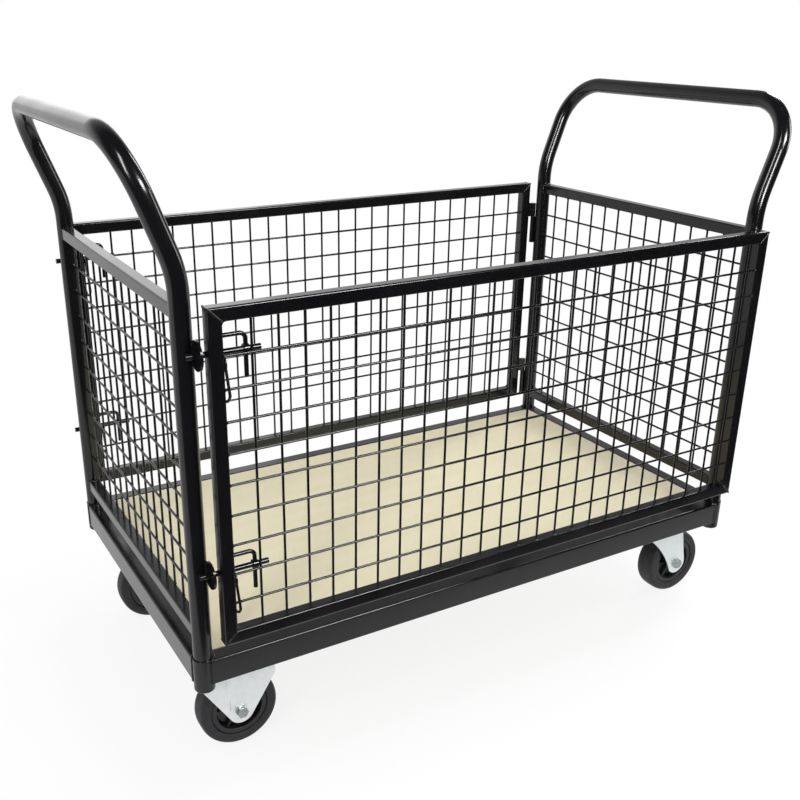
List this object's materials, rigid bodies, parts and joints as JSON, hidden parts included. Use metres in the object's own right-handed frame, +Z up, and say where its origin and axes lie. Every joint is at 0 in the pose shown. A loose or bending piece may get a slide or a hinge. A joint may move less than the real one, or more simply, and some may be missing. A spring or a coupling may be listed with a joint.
{
  "type": "mesh trolley",
  "caption": "Four-sided mesh trolley with a push handle at each end, a plywood deck, two swing-open mesh gates on lift-off hinges with slide-bolt latches, and fixed and swivel castors.",
  "frame": {"origin": "on the floor, under the middle of the trolley", "axes": "+X along the trolley towards its hinge and swivel end, -Y towards the front gate, +Z up"},
  "size_m": [1.1424, 0.6284, 0.9295],
  "materials": {
    "black_powder_coat": "gloss powder coat",
    "plywood": "bare plywood",
    "zinc_plate": "bright zinc plate",
    "tyre_rubber": "matt rubber",
    "hub_plastic": "moulded plastic"
  },
  "bodies": {
    "chassis": {"board_channels": "black_powder_coat", "castor_channel_fixed": "black_powder_coat", "castor_channel_swivel": "black_powder_coat", "castor_fixings": "zinc_plate", "corner_sockets": "black_powder_coat", "end_bottom_rail_left": "black_powder_coat", "end_bottom_rail_right": "black_powder_coat", "end_member_left": "black_powder_coat", "end_member_right": "black_powder_coat", "end_mesh_left": "black_powder_coat", "end_mesh_right": "black_powder_coat", "end_top_rail_left": "black_powder_coat", "end_top_rail_right": "black_powder_coat", "fixed_axle_back": "zinc_plate", "fixed_axle_front": "zinc_plate", "fixed_fork_back": "zinc_plate", "fixed_fork_front": "zinc_plate", "handle_left": "black_powder_coat", "handle_right": "black_powder_coat", "hinge_knuckles_back": "black_powder_coat", "hinge_knuckles_front": "black_powder_coat", "latch_keepers_back": "black_powder_coat", "latch_keepers_front": "black_powder_coat", "plywood_deck": "plywood", "side_member_back": "black_powder_coat", "side_member_front": "black_powder_coat", "swivel_plate_back": "zinc_plate", "swivel_plate_front": "zinc_plate"},
    "back_gate": {"bolt_guides_back": "black_powder_coat", "gate_bottom_rail_back": "black_powder_coat", "gate_hinge_lugs_back": "black_powder_coat", "gate_hinge_stile_back": "black_powder_coat", "gate_latch_stile_back": "black_powder_coat", "gate_mesh_back": "black_powder_coat", "gate_top_rail_back": "black_powder_coat"},
    "front_gate": {"bolt_guides_front": "black_powder_coat", "gate_bottom_rail_front": "black_powder_coat", "gate_hinge_lugs_front": "black_powder_coat", "gate_hinge_stile_front": "black_powder_coat", "gate_latch_stile_front": "black_powder_coat", "gate_mesh_front": "black_powder_coat", "gate_top_rail_front": "black_powder_coat"},
    "fixed_wheel_back": {"fixed_hub_back": "hub_plastic", "fixed_tyre_back": "tyre_rubber"},
    "fixed_wheel_front": {"fixed_hub_front": "hub_plastic", "fixed_tyre_front": "tyre_rubber"},
    "latch_bolt_lower_back": {"latch_bolt_lower_back": "black_powder_coat"},
    "latch_bolt_lower_front": {"latch_bolt_lower_front": "black_powder_coat"},
    "latch_bolt_upper_back": {"latch_bolt_upper_back": "black_powder_coat"},
    "latch_bolt_upper_front": {"latch_bolt_upper_front": "black_powder_coat"},
    "swivel_back": {"swivel_axle_back": "zinc_plate", "swivel_fork_back": "zinc_plate"},
    "swivel_front": {"swivel_axle_front": "zinc_plate", "swivel_fork_front": "zinc_plate"},
    "swivel_wheel_back": {"swivel_hub_back": "hub_plastic", "swivel_tyre_back": "tyre_rubber"},
    "swivel_wheel_front": {"swivel_hub_front": "hub_plastic", "swivel_tyre_front": "tyre_rubber"}
  },
  "joints": [
    {"name": "front_gate_hinge", "type": "hinge", "parent": "chassis", "child": "front_gate", "pos_m": [0.50431, -0.29035, 0.48], "axis": [0, 0, 1], "range_deg": [0, 160]},
    {"name": "latch_bolt_upper_front_slide", "type": "slide", "parent": "front_gate", "child": "latch_bolt_upper_front", "axis": [1, 0, 0], "range_m": [0, 0.024]},
    {"name": "latch_bolt_lower_front_slide", "type": "slide", "parent": "front_gate", "child": "latch_bolt_lower_front", "axis": [1, 0, 0], "range_m": [0, 0.024]},
    {"name": "swivel_front_turn", "type": "hinge", "parent": "chassis", "child": "swivel_front", "pos_m": [0.436, -0.201, 0.155], "axis": [0, 0, 1], "continuous": true},
    {"name": "swivel_wheel_front_spin", "type": "hinge", "parent": "swivel_front", "child": "swivel_wheel_front", "pos_m": [0.48, -0.201, 0.0625], "axis": [0, 1, 0], "continuous": true},
    {"name": "fixed_wheel_front_spin", "type": "hinge", "parent": "chassis", "child": "fixed_wheel_front", "pos_m": [-0.427, -0.201, 0.0625], "axis": [0, 1, 0], "continuous": true},
    {"name": "back_gate_hinge", "type": "hinge", "parent": "chassis", "child": "back_gate", "pos_m": [0.48556, 0.28594, 0.48], "axis": [0, 0, -1], "range_deg": [0, 108]},
    {"name": "latch_bolt_upper_back_slide", "type": "slide", "parent": "back_gate", "child": "latch_bolt_upper_back", "axis": [1, 0, 0], "range_m": [0, 0.024]},
    {"name": "latch_bolt_lower_back_slide", "type": "slide", "parent": "back_gate", "child": "latch_bolt_lower_back", "axis": [1, 0, 0], "range_m": [0, 0.024]},
    {"name": "swivel_back_turn", "type": "hinge", "parent": "chassis", "child": "swivel_back", "pos_m": [0.436, 0.201, 0.155], "axis": [0, 0, 1], "continuous": true},
    {"name": "swivel_wheel_back_spin", "type": "hinge", "parent": "swivel_back", "child": "swivel_wheel_back", "pos_m": [0.48, 0.201, 0.0625], "axis": [0, 1, 0], "continuous": true},
    {"name": "fixed_wheel_back_spin", "type": "hinge", "parent": "chassis", "child": "fixed_wheel_back", "pos_m": [-0.427, 0.201, 0.0625], "axis": [0, 1, 0], "continuous": true}
  ]
}
